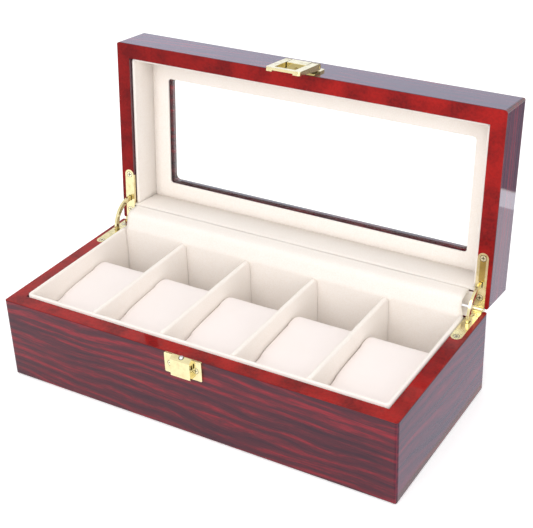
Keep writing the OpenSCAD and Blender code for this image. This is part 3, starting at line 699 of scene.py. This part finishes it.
# divider: a board wrapped in velvet, its top rounded and its upper back corner cut for the flap
def makeDivider(s, number):
    x = (number - 2.5) * s["bayPitch"]
    front, back, floor = s["bayFront"], s["bayBack"] - s["dividerShort"], s["floor"]
    crown, cut, half = s["rim"] + s["dividerLip"], back - s["dividerCut"], s["divider"] / 2
    n, cutRows = 44, 6
    y = np.concatenate([np.linspace(front, cut - 0.1, n - cutRows),
                        np.linspace(cut + 0.1, back, cutRows)])
    top = np.minimum(crown, crown - (y - cut)) + wobble(n, s["topWave"], 20 + number)
    top = np.minimum(top, crown)
    a = np.radians(np.linspace(180, 0, 11))
    u = np.concatenate([[-half] * 3, half * np.cos(a), [half] * 3])
    v = np.concatenate([[floor, 22.0, 40.0], np.zeros(11), [40.0, 22.0, floor]])
    belly = (wobble(n, s["bellyWave"], 30 + number) - s["bellyIn"])[:, None]
    bulge = np.exp(-((np.abs(v) - s["bellyHeight"]) / s["bellySpan"]) ** 2) * np.sign(u)
    profile = np.zeros((n, len(u), 2))
    profile[..., 0] = u + belly * bulge
    profile[..., 1] = v
    profile[:, 3:14, 1] = top[:, None] - half + half * np.sin(a)[None]
    path = np.stack([np.full(n, x), y, np.zeros(n)], -1) * mm
    side = np.tile((1.0, 0.0, 0.0), (n, 1))
    piece = gridMesh(f"divider{number}", sweepPoints(path, side, profile * mm), velvet)
    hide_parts(f"divider_{number}")
    return piece


backCloth = {
    # section of the back wall's lining and the flap above it: points in the YZ plane in mm,
    # at the middle of the cloth, then its thickness at each of them
    "points": [(46.85, 5.8), (46.85, 20.0), (46.85, 36.0), (46.85, 46.0), (46.75, 49.6),
               (46.20, 50.7), (45.72, 51.5), (45.68, 52.3), (46.90, 55.8), (48.00, 59.6),
               (49.00, 61.4), (50.80, 62.2), (57.50, 62.4)],
    "thickness": [3.3, 3.3, 3.3, 3.3, 3.1, 2.2, 1.25, 1.15, 1.2, 1.2, 1.2, 1.2, 1.2],
    "narrowing": ((50.9, 51.9), (231.8, 226.4)),        # heights, and the width at each
    "crease": ((0.0, 45.4, 50.6), (0.0, 46.0, 54.0)),
    # slow waves: amount and seed, and the heights over which each sets in
    "lift": (0.12, 41), "liftFrom": (56.0, 62.0),
    "belly": (0.06, 7), "bellyOut": 0.04, "bellyFrom": (20.0, 40.0), "bellyTo": (52.0, 46.0),
    "frontFace": 46.5,
}


# back wall's lining and rear flap, one cloth over its crease: closed section along a smoothed
# centre line, point = centre + side * normal * thickness / 2, narrowed above the rim
def makeBackCloth(s):
    knots = np.array(s["points"])
    along = np.concatenate([[0], np.cumsum(np.linalg.norm(np.diff(knots, axis=0), axis=1))])
    fine = np.concatenate([np.linspace(0, along[3], 12, endpoint=False),
                           np.linspace(along[3], along[-1], 40)])
    centre = np.stack([np.interp(fine, along, knots[:, k]) for k in (0, 1)], -1)
    half = np.interp(fine, along, s["thickness"]) / 2
    for line in [centre, half] * 5:     # soften the knots
        line[1:-1] = 0.25 * line[:-2] + 0.5 * line[1:-1] + 0.25 * line[2:]
    ahead = np.gradient(centre, axis=0)
    ahead /= np.linalg.norm(ahead, axis=1)[:, None]
    out = np.stack([-ahead[:, 1], ahead[:, 0]], -1)
    b = np.radians(np.linspace(30, 150, 5))[:, None]
    cap = centre[-1] + half[-1] * (np.cos(b) * out[-1] + np.sin(b) * ahead[-1])
    half = half[:, None]
    outline = np.concatenate([centre + half * out, cap, (centre - half * out)[::-1]])
    y, z = outline.T
    n = 100
    points = np.zeros((n, len(outline), 3))
    points[..., 0] = np.linspace(-1, 1, n)[:, None] * np.interp(z, *s["narrowing"])[None] / 2
    points[..., 1:] = outline[None]
    points[..., 2] += ramp(z, *s["liftFrom"])[None] * wobble(n, *s["lift"])[:, None]
    belly = ramp(z, *s["bellyFrom"]) * ramp(z, *s["bellyTo"]) * (y < s["frontFace"])
    points[..., 1] += belly[None] * (wobble(n, *s["belly"])[:, None] + s["bellyOut"])
    piece = gridMesh("backCloth", points * mm, velvet)
    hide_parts("base_liner_back", "rear_flap")
    start, end = (tuple(v * mm for v in point) for point in s["crease"])
    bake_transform(piece)
    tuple(start)
    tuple(end)
    return piece


facing = {
    "thickness": 0.14, "edge": 0.02, "inner": 88.0, "outer": 115.95, "front": 48.6, "back": 57.45,
    "taperSide": 0.2, "taper": 0.3,
}


# thin cloth facings on the two rims beside the flap, between it and the hinge leaves: a flat
# grid raised by its thickness, which falls to almost nothing at three edges
def makeFacings(s):
    x = np.array([s["inner"], s["outer"] - s["taperSide"], s["outer"]])
    y = np.array([s["front"], s["front"] + s["taper"], s["back"] - s["taper"], s["back"]])
    rise = np.full((len(y), len(x)), s["thickness"])
    rise[0] = rise[-1] = rise[:, -1] = s["edge"]
    for body, level, up in (("base", box["rim"], 1), ("lid", lid["rim"], -1)):
        for label, side in (("Left", -1), ("Right", 1)):
            top = np.stack(np.broadcast_arrays(side * x[None], y[:, None], level + up * rise), -1)
            bottom = top.copy()
            bottom[..., 2] = level
            ring = np.concatenate([top, bottom[:, ::-1]], 1) * mm
            if body == "lid":
                ring = openLid(ring)
            yield gridMesh(f"{body}Facing{label}", ring, velvet), body


lid = {
    "innerWidth": 232.0, "innerDepth": 97.0, "corner": 2.9, "rim": 51.6, "recess": 2.2,
    "backRecess": 0.4, "thickness": 2.0, "gap": 0.05, "ceiling": 73.1, "ceilingThickness": 1.3,
    "windowX": (-102.8, 101.15), "windowY": (-32.35, 36.6), "windowCorner": 2.0,    # opening
    "outerTurn": 4.0, "innerTurn": 5.0, "lipWave": (0.10, 51),
    # border's section: share of the way to the walls, and height over the ceiling
    "borderEdge": ((0.0, 0.55), (0.010, 0.22), (0.035, 0.04), (0.10, 0.0), (0.5, 0.0),
                   (0.985, 0.0), (1.0, 0.3)),
}


# linings of the lid, drawn shut: one strip round the left, front and right walls, one on the
# back wall, and a flat border round the window with rounded inner and outer edges
def makeLidLinings(s):
    t, gap, top = s["thickness"], s["gap"], s["ceiling"]
    half = t / 2 - gap

    def outline(low, outer=(), inner=()):
        # up the wall, round the lip and down the face
        return np.concatenate([
            [(gap, top), *((gap, low + v) for v in outer), (gap, low + half)],
            roundedEnd((gap + half, low + half), half, 180, 360),
            [(t - gap, low + half), *((t - gap, low + v) for v in inner), (t - gap, top)],
        ]) * mm

    path, side = cornerPath(s, (s["innerDepth"] / 2 - t) * mm)
    section = outline(s["rim"] + s["recess"], [s["outerTurn"]], [s["innerTurn"]])
    profile = np.repeat(section[None], len(path), 0)
    profile[:, 2:13, 1] += np.abs(wobble(len(path), *s["lipWave"]))[:, None] * mm
    walls = gridMesh("lidWallLining", openLid(sweepPoints(path, side, profile)), velvet)
    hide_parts("lid_liner_left", "lid_liner_front", "lid_liner_right")

    n = 80
    x = np.linspace(-s["innerWidth"] / 2, s["innerWidth"] / 2, n) * mm
    path = np.stack([x, np.full(n, s["innerDepth"] / 2 * mm), np.zeros(n)], -1)
    side = np.tile((0.0, -1.0, 0.0), (n, 1))
    strip = sweepPoints(path, side, outline(s["rim"] + s["backRecess"]))
    back = gridMesh("lidBackLining", openLid(strip), velvet)
    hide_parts("lid_liner_back")

    # the border's inner outline is the window with rounded corners, its outer one the walls;
    # share runs from 0 at the window to 1 at the walls
    r = s["windowCorner"]
    inner, outer = [], []
    for k, (sx, sy) in enumerate(((1, 1), (-1, 1), (-1, -1), (1, -1))):
        centre = s["windowX"][sx > 0] - sx * r, s["windowY"][sy > 0] - sy * r
        inner.append(roundedEnd(centre, r, 90 * k, 90 * k + 90, 7))
        wall = sx * (s["innerWidth"] / 2 - gap), sy * (s["innerDepth"] / 2 - gap)
        outer.append(np.tile(wall, (7, 1)))
    inner, outer = np.concatenate(inner)[:, None], np.concatenate(outer)[:, None]
    thick = s["ceilingThickness"]
    section = np.array([(0.0, thick), *s["borderEdge"], (1.0, thick)])[None]
    share = section[..., :1]
    points = np.zeros((len(inner), section.shape[1], 3))
    points[..., :2] = inner * (1 - share) + outer * share
    points[..., 2] = top + section[..., 1]
    ceiling = gridMesh("windowBorder", openLid(points * mm), velvet, ring=True)
    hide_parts("ceiling_lining")
    return walls, back, ceiling


for piece in (makeRimLining(box), *(makeDivider(box, k) for k in (1, 2, 3, 4))):
    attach(piece, "base")
makeBackCloth(backCloth)
for piece, body in makeFacings(facing):
    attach(piece, body)
for piece in makeLidLinings(lid):
    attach(piece, "lid")
print("linings made")


fittings = {
    # piece: body, CAD nodes it stands for, width of the broken edges in mm, finish
    "hingeLeavesBase": ("base", ("hinge_base_leaf_left", "hinge_base_leaf_right"), 0.16, gold),
    "hingeLeavesLid": ("lid", ("hinge_lid_leaf_left", "hinge_lid_leaf_right"), 0.16, leafGoldPaintedReflection),
    "hingeScrewsBase": ("base", ("base_hinge_screws",), 0.06, screwGold),
    "hingeScrewsLid": ("lid", ("lid_hinge_screws",), 0.06, screwGold),
    "stayLeft": ("stay_left", ("stay_arm_left",), 0.14, gold),
    "stayRight": ("stay_right", ("stay_arm_right",), 0.14, gold),
    "catchPlate": ("base", ("catch_plate",), 0.16, gold),
    "catchBlock": ("base", ("catch_block",), 0.18, gold),
    "catchScrews": ("base", ("catch_screws",), 0.06, screwGold),
    "catchBall": ("ball", ("catch_ball",), 0.0, steel),
    "catchSpring": ("base", ("catch_spring",), 0.0, steel),
    "latchPlate": ("lid", ("latch_plate",), 0.16, latchGoldPaintedShade),
    "latchScrews": ("lid", ("latch_screws",), 0.06, screwGold),
    "hasp": ("hasp", ("hasp",), 0.35, gold),
}
springFoot, springKeep = (0, -59.4 * mm, 43.9 * mm), 0.9
blockTop = {"from": 50.2 * mm, "back": -58.8 * mm, "slope": 0.45}
edges = {"flat": math.radians(1.0), "sharp": math.radians(32), "segments": 2}


# the catch block's top falls away to the front: z is lowered by slope * distance from its back
def slopeBlock(mesh, s):
    points = np.zeros(len(mesh.vertices) * 3)
    mesh.vertices.foreach_get("co", points)
    y, z = points[1::3], points[2::3]
    z -= np.where(z > s["from"], s["slope"] * np.maximum(0.0, s["back"] - y), 0.0)
    mesh.vertices.foreach_set("co", points)
    return mesh


# copy of CAD nodes, merged and cleared of seams in its flat faces, then its sharp edges broken
def makeFitting(name, body, nodeNames, edge, finish):
    work = bmesh.new()
    for nodeName in nodeNames:
        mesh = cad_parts[nodeName].data.copy()
        work.from_mesh(slopeBlock(mesh, blockTop) if name == "catchBlock" else mesh)
        bpy.data.meshes.remove(mesh)
    bmesh.ops.remove_doubles(work, verts=work.verts, dist=2 * weld)
    bmesh.ops.dissolve_limit(work, angle_limit=edges["flat"], verts=work.verts, edges=work.edges)
    mesh = bpy.data.meshes.new(name)
    work.to_mesh(mesh)
    work.free()
    mesh.materials.append(finish)
    mesh.shade_smooth()
    piece = addObject(name, mesh)
    if edge:
        bevel = piece.modifiers.new("brokenEdges", "BEVEL")
        bevel.width = edge * mm
        bevel.segments = edges["segments"]
        bevel.limit_method = "ANGLE"
        bevel.angle_limit = edges["sharp"]
        bevel.use_clamp_overlap = True
        bevel.harden_normals = False
        piece.modifiers.new("faceNormals", "WEIGHTED_NORMAL").keep_sharp = True
    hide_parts(*nodeNames)
    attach(piece, body)
    return piece


for name, details in fittings.items():
    fitting = makeFitting(name, *details)
    if name == "catchSpring":       # gets a mesh of its own
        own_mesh(fitting)
        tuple(springFoot)


shadeMarks = {
    "headRing": (1.68, 1.92), "ballRing": (1.16, 1.62), "lift": 0.015,
    "slotWidth": 0.42, "slotLength": 2.2, "slotDrop": 0.10,
    # the ball's painted shade ring ends at the plate behind it
    "ballReach": (2.0, -62.0), "seamBack": -58.72, "seamTop": 51.91,
    # places on the shut box in mm: centre, then the way the head faces
    "base": [((x, y, 51.3), (0, 0, 1)) for x in (-119.2, 119.2) for y in (27.3, 51.1)]
            + [((x, -58.7, 45.2), (0, -1, 0)) for x in (-8.0, 8.0)],
    "lid": [((x, y, 51.6), (0, 0, -1)) for x in (-119.2, 119.2) for y in (27.3, 51.1)],
    "ball": ((0.0, -59.4, 51.63), (0.0, -0.410, 0.912)),
}


# painted shade in the gaps round the countersunk heads and the ball and in the heads' cross slots,
# as thin dark flat rings and
# crosses: ring point = centre + r (cos a * u + sin a * v) + lift * n, cross point = centre + a * u
# + b * v - drop * n
def makeShadeMarks(name, places, s, lidSide):
    angle = np.linspace(0, 2 * np.pi, 28, endpoint=False)[:, None]
    k = np.arange(len(angle))
    after = np.roll(k, -1)
    ringFaces = np.stack([k, len(k) + k, len(k) + after, after], -1)
    square = np.array([(-1, -1), (1, -1), (1, 1), (-1, 1)]) / 2
    points, faces, count = [], [], 0
    for centre, normal, radii, crossed in places:
        centre, n, u = np.array(centre), np.array(normal, float), np.array((1.0, 0.0, 0.0))
        v = np.cross(n, u)
        ring = np.cos(angle) * u + np.sin(angle) * v
        points += [centre + ring * r + n * s["lift"] for r in radii]
        faces += (count + ringFaces).tolist()
        count += 2 * len(k)
        for a, b in ((u, v), (v, -u)) if crossed else ():
            points.append(centre + square[:, :1] * a * s["slotLength"]
                          + square[:, 1:] * b * s["slotWidth"] - n * s["slotDrop"])
            faces.append([count, count + 1, count + 2, count + 3])
            count += 4
    points = np.concatenate(points)
    if not lidSide:
        wide, front = s["ballReach"]
        near = (np.abs(points[:, 0]) < wide) & (points[:, 1] > front)
        points[near, 1] = np.minimum(points[near, 1], s["seamBack"])
        points[near, 2] = np.minimum(points[near, 2], s["seamTop"])
    points *= mm
    if lidSide:
        points = openLid(points)
    piece = addMesh(name, points.tolist(), faces, seamShadeGold)
    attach(piece, "lid" if lidSide else "base")


baseHeads, lidHeads = ([(*spot, shadeMarks["headRing"], True) for spot in shadeMarks[body]]
                       for body in ("base", "lid"))
ballShadeRing = (*shadeMarks["ball"], shadeMarks["ballRing"], False)
makeShadeMarks("screwShadeMarksBase", [*baseHeads, ballShadeRing], shadeMarks, lidSide=False)
makeShadeMarks("screwShadeMarksLid", lidHeads, shadeMarks, lidSide=True)
print("fittings made")


pillow = {
    "voxel": 2.2,                   # mm, skin of the plain form
    "simVoxel": 3.0, "shrink": 0.20, "cap": 0.75,   # mm
    "frames": 20, "scale": 10.0,
    "cloth": {"use_pressure": True, "uniform_pressure_force": 4.0, "quality": 5, "mass": 0.2,
              "tension_stiffness": 20.0, "compression_stiffness": 20.0, "bending_stiffness": 1.0},
    "spread": 0.014,                # widening, to press on the dividers
    "square": 0.48,                 # tightens the rounding of the side edges
    "tail": (2.0, 23.0), "tailIn": 0.045,       # mm and share: back corners drawn in
    "halfWidth": 21.30, "front": -45.6, "back": 23.3, "bottom": 5.9,    # mm, room in a bay
    "fill": 0.8,
}


# closed voxel skin of a CAD pillow; with a scale it stands about its own centre, enlarged
def pillowSkin(source, name, voxel, scale=1.0):
    work = bmesh.new()
    work.from_mesh(source.data)
    bmesh.ops.remove_doubles(work, verts=work.verts, dist=2 * weld)
    mesh = bpy.data.meshes.new(name)
    work.to_mesh(mesh)
    work.free()
    points = np.zeros(len(mesh.vertices) * 3)
    mesh.vertices.foreach_get("co", points)
    points = points.reshape(-1, 3)
    centre = (points.min(0) + points.max(0)) / 2
    moved = (points - centre) * scale + (centre if scale == 1.0 else 0.0)
    mesh.vertices.foreach_set("co", moved.ravel())
    piece = addObject(name, mesh)
    remesh = piece.modifiers.new("skin", "REMESH")
    remesh.mode = "VOXEL"
    remesh.voxel_size = voxel * mm * scale
    remesh.use_smooth_shade = True
    depsgraph = bpy.context.evaluated_depsgraph_get()
    piece.data = bpy.data.meshes.new_from_object(piece.evaluated_get(depsgraph))
    piece.modifiers.clear()
    bpy.data.meshes.remove(mesh)
    return piece, centre


# the cover is drawn in a little and blown up again by air pressure, ten times its size;
# every move is scaled so that the farthest stays under the cap
def inflate(piece, centre, s):
    mesh = piece.data
    points, normals = np.zeros((2, len(mesh.vertices) * 3))
    mesh.vertices.foreach_get("co", points)
    mesh.vertices.foreach_get("normal", normals)
    start = points.reshape(-1, 3) - normals.reshape(-1, 3) * s["shrink"] * mm * s["scale"]
    mesh.vertices.foreach_set("co", start.ravel())
    cloth = piece.modifiers.new("cloth", "CLOTH")
    for key, value in s["cloth"].items():
        setattr(cloth.settings, key, value)
    cloth.settings.effector_weights.gravity = 0.0
    cloth.point_cache.frame_start = 1
    cloth.point_cache.frame_end = s["frames"]
    for step in range(1, s["frames"] + 1):
        scene.frame_set(step)
    blown = piece.evaluated_get(bpy.context.evaluated_depsgraph_get()).data
    blown.vertices.foreach_get("co", points)
    move = points.reshape(-1, 3) - start
    farthest = np.linalg.norm(move, axis=1).max()
    piece.modifiers.clear()
    scene.frame_set(1)
    move *= min(1.0, s["cap"] * mm * s["scale"] / max(farthest, 1e-9))
    final = (start + move) / s["scale"] + centre
    half = s["halfWidth"] * mm
    across = np.clip((final[:, 0] - centre[0]) * (1 + s["spread"]) / half, -1, 1)
    tail = ramp(final[:, 1] / mm, *s["tail"])
    final[:, 0] = centre[0] + (half * (across + s["square"] * across * (1 - across ** 2))
                               * (1 - s["tailIn"] * tail ** 2))
    final[:, 1] = np.clip(final[:, 1], s["front"] * mm, s["back"] * mm)
    final[:, 2] = np.maximum(final[:, 2], s["bottom"] * mm)
    mesh.vertices.foreach_set("co", final.ravel())
    mesh.update()
    return farthest / mm / s["scale"]


def makePillows(s):
    for number in (1, 2, 3, 4, 5):
        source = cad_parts[f"pillow_{number}"]
        piece, centre = pillowSkin(source, f"pillow{number}", s["simVoxel"], s["scale"])
        moved = inflate(piece, centre, s)
        print("pillow", number, "moved", round(moved, 2), "mm before the cap")
        smooth = piece.modifiers.new("finish", "SUBSURF")
        smooth.levels = smooth.render_levels = 1
        piece.data.materials.clear()
        piece.data.materials.append(suedeCover)
        piece.data.shade_smooth()
        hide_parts(f"pillow_{number}")
        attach(piece, f"pillow_{number}")


makePillows(pillow)
print("pillows made")
